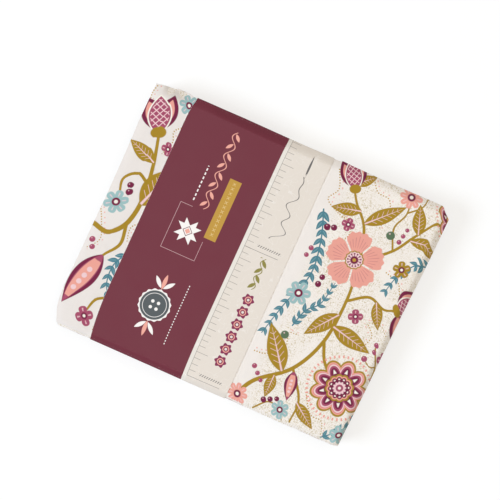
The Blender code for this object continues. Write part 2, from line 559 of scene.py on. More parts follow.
weave = {
    "thread": 0.00036,  # pitch of the yarns
    "depth": 0.00006,
    "slub": 0.05,  # how much the yarns differ in tone
    "cloud": 0.05,  # and the cloth from place to place
    # painted shade in the hollows between the yarns
    "gapShade": 0.035,  # how much darker it is between the yarns
    "slubWide": 2400.0,  # a yarn's unevenness across it and along it, per metre
    "slubLong": 70.0,
    "sheen": 0.12,
}


def cottonFinish(p):
    u, v = p.flatPlace()
    warp, weft = [abs(p.wave(along * (math.pi / weave["thread"]))) for along in (u, v)]
    height = warp * weft
    wide, long = weave["slubWide"], weave["slubLong"]
    alongWarp = p.noise(p.join(u * wide, v * long), 1.0, 2.0)
    alongWeft = p.noise(p.join(u * long, v * wide, 5.0), 1.0, 2.0)
    slub = (alongWarp + alongWeft - 1.0) * weave["slub"]
    cloudy = (p.noise(p.join(u, v), 18.0, 3.0) - 0.5) * weave["cloud"]
    # painted shade: darker where the weave's height is low, between the yarns
    gapShade = (height - 1.0) * weave["gapShade"]
    p.shade(1.0 + slub + (cloudy + gapShade))
    roughness = 0.86 + slub * 0.8
    return p.finish(height + slub * 3.0, weave["depth"], roughness, weave["sheen"])


def reachAlong(line, spacing=1.5):
    # a smooth line through the points, as places, directions and lengths so far
    points = np.array(line, dtype=float)
    ends = np.vstack((2 * points[0] - points[1], points, 2 * points[-1] - points[-2]))
    places = []
    for start in range(len(points) - 1):
        a, b, c, d = ends[start:start + 4]
        t = np.linspace(0.0, 1.0, 24, endpoint=False)[:, None]
        places.append(0.5 * (
            2 * b + (c - a) * t + (2 * a - 5 * b + 4 * c - d) * t ** 2 + (3 * b - a - 3 * c + d) * t ** 3
        ))
    places = np.vstack(places + [points[-1:]])
    lengths = np.concatenate(([0.0], np.cumsum(np.hypot(*np.diff(places, axis=0).T))))
    stations = np.linspace(0.0, lengths[-1], max(2, int(lengths[-1] / spacing)))
    x = np.interp(stations, lengths, places[:, 0])
    y = np.interp(stations, lengths, places[:, 1])
    angle = np.unwrap(np.arctan2(np.gradient(y), np.gradient(x)))
    return x, y, angle, stations


# the top cloth's print: a garden of its own, in millimetres from near the middle of the stack
garden = {
    "corner": (-121.34, -97.34),
    "stretch": (1.0167, 1.0110),
    # how far the left strip with its painted shade reaches
    "paintedShadeTo": 0.08,  # metres from the raw end
    "stippledFrom": 0.148,
    "fernLeaf": {"across": 0.42, "lean": 0.62},
}
# a side branch lies in another layer than what it grows from
stems = table(
    "layer wide through",
    (1, 1.5, [(24, -96), (34, -78), (56, -58), (68, -30), (70, 4), (66, 34)]),
    (2, 1.2, [(68, -31), (76, -46), (92, -58)]),
    (1, 1.1, [(66, 34), (58, 58), (46, 72), (38, 84)]),
    (2, 1.1, [(70, 3), (84, 12), (98, 8), (110, 14)]),
    (1, 1.1, [(66, 34), (84, 50), (94, 66), (106, 84), (114, 88)]),
    (2, 1.0, [(56, -58), (70, -78), (70, -96)]),
    (1, 0.6, [(40, -97), (50, -88), (60, -90), (64, -97)]),
    (1, 0.6, [(104, -20), (110, -32), (112, -44), (121, -52)]),
    (2, 0.5, [(110, -32), (105, -34), (101, -32)]),
    (2, 0.7, [(84, 50), (78, 66), (82, 80), (78, 97)]),
    (1, 0.6, [(82, 80), (90, 88), (92, 97)]),
    (1, 1.8, [(-122, -18), (-109, -21), (-99, -10), (-96, 12), (-99, 36), (-104, 58)]),
    (2, 1.3, [(-99, -11), (-97, -26), (-104, -37), (-107, -42)]),
    (2, 1.2, [(-97, 22), (-107, 27), (-115, 20), (-113, 8)]),
    (1, 1.1, [(-88, -66), (-96, -71), (-100, -82)]),
)
ferns = table(
    "wide every long through",
    (0.55, 6.6, 9.0, [(26, 58), (34, 36), (38, 10), (30, -18), (24, -44)]),
    (0.5, 6.0, 8.0, [(120, 62), (106, 50), (96, 36), (92, 20)]),
    (0.5, 5.6, 7.5, [(42, -30), (46, -16), (54, -6), (57, 12)]),
    (0.5, 5.8, 7.5, [(96, -97), (106, -88), (112, -78), (114, -66)]),
    (0.5, 6.4, 8.5, [(-89, -30), (-95, -42), (-94, -56), (-88, -66)]),
)
trails = [
    [(24, 90), (30, 76), (26, 66), (36, 60), (48, 56), (50, 46), (42, 40)],
    [(86, 34), (98, 30), (104, 22), (114, 24), (120, 34)],
    [(48, 97), (56, 86), (66, 84), (70, 74), (68, 60)],
    [(24, -58), (34, -56), (44, -46), (42, -36), (50, -34)],
    [(84, -28), (94, -24), (98, -14), (92, -6), (100, -4), (108, -8)],
    [(72, -70), (82, -84), (92, -86), (96, -97)],
    [(116, -56), (110, -62), (114, -70)],
    [(-88, 74), (-95, 66), (-93, 58), (-97, 46)],
    [(-88, -4), (-95, -12), (-93, -24)],
    [(-122, -4), (-117, -14), (-112, -28), (-119, -38)],
    [(-88, -84), (-92, -92), (-90, -98)],
    [(-119, 97), (-121, 88), (-119, 78)],
]
# big leaves: base, tip, half the width as a share of the length
leaves = table(
    "kind base tip across",
    ("leaf", (69, -18), (102, -26), 0.19),
    ("leaf", (50, -64), (27, -34), 0.20),
    ("leaf", (70, -8), (52, -32), 0.20),
    ("leaf", (57, 60), (80, 84), 0.17),
    ("leaf", (52, 68), (30, 62), 0.22),
    ("leaf", (92, 62), (118, 66), 0.18),
    ("leaf", (96, 68), (88, 90), 0.22),
    ("leaf", (90, 11), (100, -8), 0.20),
    ("leaf", (46, -68), (46, -86), 0.24),
    ("leaf", (69, -80), (88, -94), 0.20),
    ("leaf", (39, 84), (52, 96), 0.24),
    ("leaf", (-96, 6), (-84, 42), 0.25),
    ("leaf", (-99, 38), (-122, 50), 0.21),
    ("pod", (-105, -38), (-119, -82), 0.20),
    ("pod", (110, 14), (119, -14), 0.26),
    ("pod", (58, -60), (62, -82), 0.22),
)
blooms = table(
    "kind x y r turn",
    ("dahlia", 93, -58, 22.5, 0.2),
    ("poppy", 62, 33, 22.0, 0.5),
    ("tulip", 36, 89, 13.0, 2.1),
    ("tulip", 111, 20, 12.5, 1.0),
    ("dahlia", 117, 97, 17.0, 0.0),
    ("tulip", -109, 72, 17.0, 1.9),
)
posies = table(
    "kind x y r turn",
    ("bluePosy", 36, -6, 9.0, 0.3),
    ("coralPosy", 80, 92, 8.5, 0.1),
    ("coralPosy", 26, -92, 8.0, 0.1),
    ("bluePosy", 60, -90, 7.0, 0.8),
    ("mauvePosy", 47, 55, 5.0, 0.0),
    ("mauvePosy", 81, -5, 5.5, 0.4),
    ("mauvePosy", 114, -24, 6.0, 0.4),
    ("olivePosy", 96, 40, 6.5, 0.7),
    ("bluePosy", 108, -90, 7.5, 0.0),
    ("mauvePosy", -100, -85, 7.0, 0.5),
    ("bluePosy", -113, 2, 9.0, 0.5),
    ("mauvePosy", -94, 52, 5.0, 0.2),
    ("bluePosy", -93, 88, 7.5, 0.2),
)
# strings of berries: the first, the step to the next, how many
berries = table(
    "kind x y step count r",
    ("plumBerry", 46, -88, (4.5, 2.2), 3, 2.2),
    ("mauveBerry", 100, -31, (3.2, -4.6), 1, 2.2),
    ("plumBerry", 113, -42, (2.0, -5.6), 2, 2.6),
    ("mauveBerry", 104, -18, (0.6, -5.2), 2, 1.9),
    ("greenBerry", 78, 60, (-4.0, 8.0), 1, 3.2),
    ("mauveBerry", 85.5, 58, (0.9, 5.2), 3, 1.8),
    ("plumBerry", 34, 47, (4.6, 1.6), 2, 2.5),
    ("mauveBerry", 30, 28, (-1.0, -6.0), 2, 1.9),
    ("plumBerry", 46, 6, (0.6, 5.8), 2, 2.3),
    ("greenBerry", 40, -38, (4.0, 8.0), 1, 3.0),
    ("mauveBerry", 30, -68, (4.2, -4.0), 3, 1.9),
    ("plumBerry", -107, 12, (-1.2, 5.2), 2, 2.6),
    ("mauveBerry", -117, -30, (2.2, -5.4), 2, 2.2),
)


# a motif is x, y, direction, half its length, half its width, the value to start from and a kind;
# a line is a row of them, whose last value is its whole length
def lineMotifs(lines):
    made = []
    for line in lines:
        x, y, angle, length = reachAlong(line["through"])
        wide = line["wide"] * (1.0 - 0.42 * (length / length[-1]) ** 2)
        ones = np.ones_like(x)
        made.append(np.column_stack((x, y, angle, ones, wide, length, ones * length[-1])))
    return np.vstack(made)


def leafMotifs():
    made = []
    for leaf in leaves:
        base, tip = np.array(leaf["base"], float), np.array(leaf["tip"], float)
        way = tip - base
        long = np.hypot(*way)
        angle = math.atan2(way[1], way[0])
        made.append((*(base + tip) / 2, angle, long / 2, long * leaf["across"], 0, kinds[leaf["kind"]]))
    return np.array(made)


def fernMotifs(chance):
    # in two layers, so that neighbouring leaves never share one
    layers = ([], [])
    for fern in ferns:
        x, y, angle, length = reachAlong(fern["through"])
        steps = np.arange(2.0, length[-1] - 1.0, fern["every"])
        for number, station in enumerate(steps):
            for side in (-1, 1):
                long = fern["long"] * chance.uniform(0.85, 1.1) * (1.0 - 0.35 * station / length[-1])
                lean = garden["fernLeaf"]["lean"] * chance.uniform(0.85, 1.15)
                way = np.interp(station, length, angle) + side * lean
                middleX = np.interp(station, length, x) + math.cos(way) * long / 2
                middleY = np.interp(station, length, y) + math.sin(way) * long / 2
                wide = long * garden["fernLeaf"]["across"] / 2
                layers[(number + (side > 0)) % 2].append((middleX, middleY, way, long / 2, wide, 0, 0))
    return [np.array(layer) for layer in layers]


def roundMotifs(rows):
    # a row with a step and a count is a string of them, each a little smaller
    made = []
    for row in rows:
        stepX, stepY = row.get("step", (0.0, 0.0))
        for number in range(row.get("count", 1)):
            r = row["r"] * (1.0 - 0.08 * number)
            turn = row.get("turn", 0.4 * number)
            x, y = row["x"] + number * stepX, row["y"] + number * stepY
            made.append((x, y, turn, r, r, 0, kinds[row["kind"]]))
    return np.array(made)


def layMotifs(mesh, layers):
    # every face takes the nearest motif of each layer, and its corners their places in that motif
    corners = len(mesh.loops)
    flat = np.empty(corners * 2)
    mesh.uv_layers["UVMap"].uv.foreach_get("vector", flat)
    flat = flat.reshape(-1, 2) * 1000 * garden["stretch"] + garden["corner"]
    starts = np.empty(len(mesh.polygons), dtype=np.int32)
    totals = np.empty(len(mesh.polygons), dtype=np.int32)
    mesh.polygons.foreach_get("loop_start", starts)
    mesh.polygons.foreach_get("loop_total", totals)
    middles = np.add.reduceat(flat, starts, axis=0) / totals[:, None]
    faceOf = np.repeat(np.arange(len(starts)), totals)
    for name, motifs in layers.items():
        best = np.full(len(middles), np.inf)
        chosen = np.zeros(len(middles), dtype=int)
        for number, (x, y, angle, halfLong, halfWide, start, kind) in enumerate(motifs):
            away = middles - (x, y)
            along = (away[:, 0] * math.cos(angle) + away[:, 1] * math.sin(angle)) / halfLong
            across = (away[:, 1] * math.cos(angle) - away[:, 0] * math.sin(angle)) / halfWide
            distance = along ** 2 + across ** 2
            nearer = distance < best
            best[nearer] = distance[nearer]
            chosen[nearer] = number
        x, y, angle, halfLong, halfWide, start, kind = motifs[chosen[faceOf]].T
        awayX, awayY = flat[:, 0] - x, flat[:, 1] - y
        along = (awayX * np.cos(angle) + awayY * np.sin(angle)) / halfLong + start
        across = (awayY * np.cos(angle) - awayX * np.sin(angle)) / halfWide
        across = np.where(best[faceOf] > 16.0, 99.0, across)
        values = np.column_stack((along, across, kind))
        mesh.attributes.new(name, "FLOAT_VECTOR", "CORNER").data.foreach_set("vector", values.ravel())


def drawLine(p, name, ink):
    s, d, whole = p.attribute(name)
    p.lay(ink, p.below(abs(d), 1.0, 0.2), p.between(s, 0.0, whole, 0.2))


def drawTrail(p, name):
    # beads along a line, and dots beside it
    s, d, whole = p.attribute(name)
    onTrail = p.between(s, 0.6, whole - 0.6, 0.1)
    bead = p.fract(s * 0.5) * 2.0 - 1.0
    p.lay("gold", p.below(p.reach(bead, d), 0.52, 0.25), onTrail)
    dot = p.fract(s * 0.25) * 4.0 - 2.0
    p.lay("coral", p.below(p.reach(dot, d - 2.4), 0.55, 0.25), onTrail, 0.8)


def leafShape(p, along, across):
    # pointed at the tip, rounder at the base: the share of its length, of its width, and the leaf
    share = along * 0.5 + 0.5
    wide = p.wave(p.calc("POWER", p.calc("MAXIMUM", share, 0.0), 0.8) * math.pi)
    leaf = p.both(p.below(abs(across), wide * 0.97, 0.05), p.between(along, -0.97, 1.0))
    return share, wide, leaf


def drawFern(p, name):
    along, across = p.attribute(name)[:2]
    share, _, leaf = leafShape(p, along, across)
    rib = p.both(p.below(abs(across), 0.12, 0.08), p.between(share, 0.2, 0.8), 0.5)
    p.lay(p.paint("teal", "paleBlue", rib), leaf)


def drawLeaf(p, name):
    along, across, kind = p.attribute(name)
    share, wide, leaf = leafShape(p, along, across)
    away = abs(across)
    # a plum pod has a coral heart with a row of peas
    pod = p.kind(kind, "pod")
    fill = p.paint("olive", "plum", pod)
    fill = p.paint(fill, "mauve", p.both(pod, p.below(away, wide * 0.64, 0.04)))
    heart = p.both(pod, p.below(away, wide * 0.56, 0.04), p.between(along, -0.75, 0.72, 0.03))
    fill = p.paint(fill, "coral", heart)
    pea = (p.fract(along * 4.0) - 0.5) * 0.25
    peas = p.both(p.below(p.reach(pea, across * 0.4), 0.085, 0.015), p.below(abs(along), 0.5))
    fill = p.paint(fill, "blush", p.both(peas, heart))
    # an olive leaf has a rib and slanting veins
    rib = p.both(p.below(away, (1.0 - share) * 0.1, 0.05), p.between(share, 0.02, 0.9))
    slant = p.fract((share - away * 0.16) * 8.5)
    inLeaf = p.both(p.below(away, wide * 0.62, 0.05), p.between(share, 0.16, 0.86))
    veins = p.both(p.near(slant, 0.5, 0.05, 0.06), inLeaf)
    fill = p.paint(fill, "blush", p.both(p.flip(pod), p.either(rib, veins)))
    p.lay(fill, leaf)


def leafSpot(p, x, y, long, wide, soft=0.16):
    # an almond from -long to long, pointed at both ends
    share = p.calc("MINIMUM", abs(x) * (1.0 / long), 1.0)
    limit = (1.0 - share * share) * wide
    return p.both(p.below(abs(y), limit, soft), p.below(abs(x), long, soft))


def turned(p, x, y, angle):
    c, s = math.cos(angle), math.sin(angle)
    return x * c + y * s, y * c - x * s


def drawPosy(p, name):
    # a small flower, of five petals unless its kind has more or fewer
    x, y, kind = p.attribute(name)
    r, angle = p.polar(x, y)
    count = 5.0
    for posy, more in (("coralPosy", 3.0), ("bluePosy", 1.0), ("mauvePosy", -1.0)):
        count = count + p.kind(kind, posy) * more
    part = p.fract(angle * count * (0.5 / math.pi) + 0.5)
    lobe = abs(part - 0.5) * 2.0
    fill = p.pick(kind, "paleBlue", coralPosy="coral", mauvePosy="mauve", olivePosy="olive")
    fill = p.paint(fill, "blush", p.both(p.below(lobe, 0.14, 0.1), p.between(r, 0.46, 0.80, 0.04), 0.75))
    fill = p.paint(fill, "plum", p.below(r, 0.34, 0.05))
    fill = p.paint(fill, "cream", p.below(r, 0.16, 0.05))
    p.lay(fill, p.below(r, 1.0 - p.calc("POWER", lobe, 3.0) * 0.42, 0.05))


def drawBerry(p, name):
    x, y, kind = p.attribute(name)
    fill = p.pick(kind, "plum", mauveBerry="mauve", greenBerry="leafGreen")
    glint = p.below(p.reach(x + 0.32, y - 0.34), 0.20, 0.12)
    fill = p.paint(fill, "blush", glint * 0.7)
    p.lay(fill, p.below(p.reach(x, y), 1.0, 0.12))


def drawRings(p, r, dip, discs, flower):
    # one disc on another, each scalloped by its share of the dip
    for ink, edge, depth in discs:
        p.lay(ink, p.below(r, edge - dip * depth), flower)


def drawDahlia(p, r, angle, flower):
    # nine petals in rings of colour, with tears on them and a fringe round them
    p.lay("coral", p.below(p.petal(angle, 45), 0.36, 0.1), p.between(r, 1.0, 1.09), flower)
    lobe = p.petal(angle, 9)
    drawRings(p, r, lobe * lobe, (
        ("olive", 0.96, 0.20), ("coral", 0.895, 0.23), ("coralDark", 0.845, 0.25), ("blush", 0.825, 0.255),
        ("mauve", 0.77, 0.28), ("plum", 0.70, 0.36),
    ), flower)
    tear = p.below(lobe, (0.66 - r) * 1.9, 0.08)
    p.lay("cream", tear, p.between(r, 0.50, 0.64), flower)
    small = p.petal(angle, 12, 0.5)
    drawRings(p, r, small * small, (
        ("olive", 0.47, 0.05), ("coral", 0.415, 0.05), ("plum", 0.37, 0.06), ("blush", 0.22, 0.05),
        ("mauve", 0.12, 0.0), ("cream", 0.05, 0.0),
    ), flower)
    p.lay("cream", p.below(small, 0.40, 0.15), p.near(r, 0.295, 0.022, 0.015), flower)


def drawPoppy(p, r, angle, flower):
    # five broad petals with frilled edges and streaks, a little apart
    lobe = p.petal(angle, 5)
    frill = p.wave(angle * 25.0) * 0.025
    edge = 0.95 - p.calc("POWER", lobe, 5.0) * 0.36 + frill
    besideGap = 1.0 - p.calc("DIVIDE", 0.045, p.calc("MAXIMUM", r, 0.05))
    gap = p.both(p.flip(p.below(lobe, besideGap, 0.03)), p.flip(p.below(r, 0.2)))
    petals = p.both(p.below(r, edge), p.flip(gap), flower)
    p.lay("coral", petals)
    streaks = p.between(r, 0.42, 0.82 - lobe * 0.22, 0.03)
    p.lay("mauve", p.below(p.petal(angle, 40), 0.20, 0.12), streaks, petals, 0.38)
    # the heart, with its stamens
    stamen = p.petal(angle, 13)
    drawRings(p, r, stamen, (("olive", 0.325, 0.03), ("blush", 0.285, 0.03), ("plum", 0.13, 0.0)), flower)
    stalks = p.both(p.below(stamen, 0.22, 0.1), p.between(r, 0.12, 0.20, 0.01))
    heads = p.both(p.below(stamen, 0.50, 0.15), p.near(r, 0.215, 0.022, 0.015))
    p.lay("plum", p.either(stalks, heads), flower)
    p.lay("gold", p.below(r, 0.06), flower)


def drawTulip(p, x, y, flower):
    # two outer petals with coral hearts, a latticed one between them and a small cup
    outerX, outerY = turned(p, x + 0.62, abs(y) - 0.06, 0.30)
    outerX = outerX - 0.78
    middleX = x - 0.06
    for ink, petalX, petalY, long, wide in (
        ("plum", outerX, outerY, 0.84, 0.44), ("coral", outerX, outerY, 0.62, 0.27),
        ("cream", middleX, y, 0.96, 0.50), ("mauve", middleX, y, 0.88, 0.44),
    ):
        p.lay(ink, leafSpot(p, petalX, petalY, long, wide, 0.03), flower)
    slants = [p.near(p.fract(slant * 3.4), 0.5, 0.10, 0.06) for slant in (x + y, x - y)]
    p.lay("blush", p.either(*slants), leafSpot(p, middleX, y, 0.80, 0.38, 0.03), flower)
    p.lay("olive", p.below(p.reach(x + 0.72, y * 0.8), 0.26, 0.03), flower)


def drawBloom(p, name):
    x, y, kind = p.attribute(name)
    r, angle = p.polar(x, y)
    drawDahlia(p, r, angle, p.kind(kind, "dahlia"))
    drawPoppy(p, r, angle, p.kind(kind, "poppy"))
    drawTulip(p, x, y, p.kind(kind, "tulip"))


def gardenCotton():
    # the cloth starts from the left strip's ground with its painted shade
    p = Painter("garden printed cotton", inks, "groundLeftPaintedShade")
    u, v = p.flatPlace()
    place = p.join(u, v)
    patches = p.clamped((p.noise(place, 26.0, 2.0) - 0.38) * 8.0, 0.5)
    squiggles = p.near(p.noise(place, 560.0, 1.0), 0.5, 0.018, 0.04)
    stippled = p.clamped((u - garden["stippledFrom"]) * 90.0, 0.0)
    # the plain ground beyond the left strip, which keeps its painted shade
    p.lay("ground", p.flip(p.below(u, garden["paintedShadeTo"])))
    p.lay("groundStippled", stippled)
    p.lay("stipple", squiggles, patches, stippled, 0.9)
    drawTrail(p, "trail")
    for name, ink in (("stem", "olive"), ("branch", "olive"), ("fern", "teal")):
        drawLine(p, name, ink)
    drawFern(p, "fernLeafTwo")
    drawFern(p, "fernLeafOne")
    drawLeaf(p, "leaf")
    drawBerry(p, "berry")
    drawPosy(p, "posy")
    drawBloom(p, "bloom")
    return cottonFinish(p)


def bakeMap(mesh, wide, long):
    # a second map that gives the cloth's upper face most of the room
    flat = np.empty(len(mesh.loops) * 2)
    mesh.uv_layers["UVMap"].uv.foreach_get("vector", flat)
    u, v = flat.reshape(-1, 2).T
    outside = np.repeat(np.arange(len(mesh.polygons)), 4) < mesh["outer faces"]
    top = outside & (u < wide + 1e-6) & (v < long + 1e-6)
    shift = np.where(outside, 0.005, 0.505)
    x = np.where(top, u / wide * 0.985, shift + u / stack["cutHeight"] * 0.48)
    y = np.where(top, v / long * 0.82, 0.835 + v / stack["cutLength"] * 0.16)
    layer = mesh.uv_layers.new(name="OFBake")
    layer.uv.foreach_set("vector", np.column_stack((x, y)).ravel())
    mesh.uv_layers.active = mesh.uv_layers["UVMap"]


# the sixteen cottons, bottom to top: which print, how far apart it repeats, and its two colours
cottons = table(
    "print pitch ground ink",
    ("dots", 0.009, (238, 233, 226), (121, 36, 70)),
    ("sprigs", 0.012, (124, 141, 117), (228, 224, 205)),
    ("stripes", 0.006, (220, 162, 150), (243, 226, 218)),
    ("sprigs", 0.010, (121, 36, 70), (214, 150, 150)),
    ("check", 0.014, (235, 226, 218), (168, 130, 40)),
    ("dots", 0.006, (170, 148, 62), (236, 226, 196)),
    ("sprigs", 0.013, (98, 141, 150), (220, 230, 226)),
    ("dots", 0.007, (228, 200, 195), (168, 78, 104)),
    ("stripes", 0.009, (183, 108, 127), (240, 214, 214)),
    ("sprigs", 0.011, (241, 237, 231), (79, 131, 145)),
    ("check", 0.010, (180, 202, 199), (240, 240, 232)),
    ("dots", 0.010, (206, 184, 128), (120, 34, 68)),
    ("stripes", 0.005, (148, 62, 93), (226, 160, 150)),
    ("sprigs", 0.012, (230, 182, 168), (168, 130, 40)),
    ("check", 0.012, (236, 230, 220), (148, 62, 93)),
    ("garden",),
)


def smallPrint(number, row):
    paints = {"ground": srgb(*row["ground"]), "ink": srgb(*row["ink"])}
    p = Painter(f"cotton {number + 1:02d} {row['print']}", paints, "ground")
    across, along = [place * (1.0 / row["pitch"]) for place in p.flatPlace()]
    if row["print"] == "stripes":
        stripe = p.near(p.fract(across), 0.5, 0.2, 0.04)
        pin = p.near(p.fract(across), 0.04, 0.03, 0.04)
        mask = p.either(stripe, pin * 0.8)
    elif row["print"] == "check":
        one, two = [p.near(p.fract(place), 0.5, 0.25, 0.03) for place in (across, along)]
        mask = (one + two) * 0.45
    else:
        # half-dropped repeat
        column = p.calc("FLOOR", across)
        shifted = along + p.calc("MODULO", column, 2.0) * 0.5
        r, angle = p.polar(p.fract(across) - 0.5, p.fract(shifted) - 0.5)
        if row["print"] == "dots":
            mask = p.below(r, 0.22, 0.04)
        else:
            turn = p.chance(p.calc("FLOOR", shifted) + column * 17.0) * 6.28
            lobe = p.petal(angle + turn, 5)
            mask = p.both(p.below(r, 0.34 - lobe * 0.18, 0.04), p.flip(p.below(r, 0.07, 0.03)))
    p.lay("ink", mask)
    return cottonFinish(p)


# how finely the cloths are folded: squares across each panel, along each layer and round each fold
fineness = {
    "panel": 18,
    "along": 22,
    "fold": 5,
    "topPanel": 130,
    "topLowerPanels": 22,
    "topLowerLayer": 24,
    "topFold": 7,
    "topStep": 0.0014,  # along the top, where its print shows
    "underBand": (0.030, 0.138, 24),  # from and to, in metres from the raw end, and in how many points
}


def gardenSteps(half):
    # finer where the print shows than under the band
    low, high, count = fineness["underBand"]
    step = fineness["topStep"]
    beyond = np.arange(high + 0.0015, half, step)
    return np.concatenate((np.arange(0.0, low, step), np.linspace(low, high, count), beyond, [half])) / half


def gardenLayers():
    ones, others = fernMotifs(random.Random(7))
    return {
        "trail": lineMotifs([{"through": line, "wide": 1.0} for line in trails]),
        "stem": lineMotifs([row for row in stems if row["layer"] == 1]),
        "branch": lineMotifs([row for row in stems if row["layer"] == 2]),
        "fern": lineMotifs(ferns),
        "fernLeafOne": ones,
        "fernLeafTwo": others,
        "leaf": leafMotifs(),
        "berry": roundMotifs(berries),
        "posy": roundMotifs(posies),
        "bloom": roundMotifs(blooms),
    }


def makeQuarters():
    chance = random.Random(stack["seed"])
    half = stack["cutHeight"] / 2
    panel, lower = edgeSteps(fineness["panel"]), edgeSteps(fineness["topLowerPanels"])
    along = edgeSteps(fineness["along"])
    section = downTheFolds([panel, panel, panel], fineness["fold"])
    lengthwise = alongTheSheet(along, fineness["fold"], along)
    topSection = downTheFolds([evenSteps(fineness["topPanel"]), lower, lower], fineness["topFold"])
    topLengthwise = alongTheSheet(
        gardenSteps(half), fineness["topFold"], edgeSteps(fineness["topLowerLayer"]),
    )
    for number, row in enumerate(cottons):
        name = f"folded_cotton_{number + 1:02d}"
        if row["print"] == "garden":
            cloth = foldCloth(name, number, topLengthwise, topSection, chance)
            outerFaces = len(cloth.data.polygons)
            thicken(cloth, stack["cotton"])
            cloth.data["outer faces"] = outerFaces
            bakeMap(cloth.data, half, stack["cutLength"] / stack["panels"])
            layMotifs(cloth.data, gardenLayers())
            cloth.data.materials.append(gardenCotton())
        else:
            cloth = foldCloth(name, number, lengthwise, section, chance)
            thicken(cloth, stack["cotton"])
            cloth.data.materials.append(smallPrint(number, row))
        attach(cloth, "root")
        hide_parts(f"fat_quarter_{number + 1:02d}")
        f"cotton_{number + 1:02d}"


makeQuarters()


def bandTop(y):
    # the middle of the paper's thickness over the cloth, where the far strip falls as a whole
    fall = fallingShare(foldLine - band["squeeze"] - y, band["strip"], 1.0, farPower)
    over = band["clearance"] + band["paper"] / 2
    return stackHeight - stack["topPress"] - stack["topRoll"] * fall + over


def bandPath():
    # (y, z) from the inner end underneath, up the near side, over the top, down the far side and
    # back underneath to the outer end, which laps over the inner one
    cloth = foldLine - band["squeeze"] + stack["unevenFold"] + stack["doubled"] / 2
    reach = cloth + band["clearance"] + band["paper"] / 2
    slope = math.atan(stack["topRoll"] * farPower / band["strip"])
    bend, underBend = band["corner"], band["underCorner"]
    start = reach - bend * (1 - math.sin(slope))
    across = np.concatenate((
        np.linspace(0.0, start - 0.010, 40), np.linspace(start - 0.010, start, 26)[1:],
    ))
    half = [(y, bandTop(y)) for y in across]
    centre = half[-1][1] - bend * math.cos(slope)
    for turn in np.linspace(math.pi / 2 - slope, 0.0, 8)[1:]:
        half.append((reach - bend + bend * math.cos(turn), centre + bend * math.sin(turn)))
    foot = underBend + band["paper"] / 2
    for share in np.linspace(0.0, 1.0, 14)[1:]:
        bow = band["bow"] * math.sin(math.pi * share) ** 2
        half.append((reach + bow, centre + (foot - centre) * share))
    for turn in np.linspace(0.0, math.pi / 2, 8)[1:]:
        half.append((reach - underBend * (1 - math.cos(turn)), foot - underBend * math.sin(turn)))
    cornerY, low = half[-1]
    lift = band["paper"] + band["lapGap"]
    outerEnd = []
    innerEnd = []
    for y in np.linspace(cornerY, -band["lap"] / 2, 50)[1:]:
        share = np.clip((cornerY - y) / (cornerY - band["lap"]) - 0.6, 0.0, 0.4) / 0.4
        outerEnd.append((y, low))
        innerEnd.append((y, low + lift * share * share * (3 - 2 * share)))
    nearSide = [(-y, z) for y, z in (half + innerEnd)[::-1]]
    path = np.array(nearSide + (half + outerEnd)[1:])
    lengths = np.concatenate(([0.0], np.cumsum(np.hypot(*np.diff(path, axis=0).T))))
    return path, lengths - lengths[len(nearSide) - 1], start


def cornerShare(y, side):
    # the band's left edge draws in here by this much
    outFrom, long, furthest = band[side]
    return furthest * np.clip((y - outFrom) / long, 0.0, 1.0) ** 2


def makeBand():
    path, lengths, start = bandPath()
    width = band["right"] - band["left"]
    length = float(lengths[-1] - lengths[0])
    paper, column, row = addGrid("paper_wrap", band["columns"], len(path) - 1)
    place = column / band["columns"]
    y, z = path[row].T
    x = band["left"] + place * width + band["lean"] * y
    x = x + (1.0 - place) * (cornerShare(y, "farCorner") + cornerShare(-y, "nearCorner"))
    # the strips along the folds fall further in some places than in others
    lead = 1.0 + band["driftLead"] * np.clip(0.5 + y / 0.16, 0.0, 1.0)
    drift = band["drift"] * np.clip(lead * x / band["left"], 0.0, 1.0)
    onTop = np.clip(y, -start, start)
    extra = fallingShare(foldLine - band["squeeze"] - abs(onTop), band["strip"], 1.0, farPower)
    extra = extra - rollAt(x, onTop + drift)
    z = z + stack["topRoll"] * extra * np.clip((z - band["lift"]) / (stackHeight / 2), 0.0, 1.0)
    shapeSheet(paper, (x, y + drift, z), (place * width, lengths[row]))
    thicken(paper, band["paper"])
    paper.data.materials.append(printedPaper())
    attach(paper, "root")
    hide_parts("paper_band")
    print("paper band wrapped:", round(length, 4), "m of paper")


paperInks = {
    "wine": srgb(111, 45, 59),
    "cream": srgb(225, 216, 206),
    "paleEdge": srgb(229, 224, 216),
    "rule": srgb(158, 153, 147),
    "frame": srgb(208, 172, 174),
    "white": srgb(244, 240, 236),
    "pink": srgb(236, 168, 152),
    "gold": srgb(190, 148, 62),
    "goldPale": srgb(226, 198, 140),
    "slate": srgb(84, 90, 93),
    "plum": srgb(132, 46, 82),
    "olive": srgb(140, 132, 66),
    "thread": srgb(104, 101, 100),
}

# the band's print, in millimetres: across from its left edge, along from the top's middle
layout = {
    "starts": 2.8,  # in from the paper's edge
    "creamFrom": 73.0,
    "rulerLine": 76.1,
    "rulerPitch": 4.775,
    "rulerMark": 2.35,  # where a long tick stands
    "tick": 5.3,
    "fourthTick": 1.7,  # every fourth tick is so much longer
    "eighthTick": 2.2,  # and every eighth one again
    "rules": (2, -20),  # the ticks that go on as thin rules
    "rulesTo": 102.9,
    "frame": (19.4, 46.9, -14.0, 22.7),
    "frameLine": 0.3,
    "frameRightTo": 1.6,
    "frameTopTo": 29.0,
    "starPatch": 4.6,
    "goldBar": (45.9, 55.2, 5.0, 53.0),
    "button": (33.6, -55.5, 12.5),
    "sprig": (37.0, 24.0, 86.0),
    "smallStitches": (27.5, 26.0, 55.0),
    "caption": (51.6, -80.0, -31.0),
    "border": (95.3, -79.0, -19.0),
    "twig": (94.0, -16.0, 9.0),
    "threadLine": (95.5, 24.0, 90.0),
    "whipStitches": (84.5, 103.5, 4.1),  # from and to, and how far above a rule
}


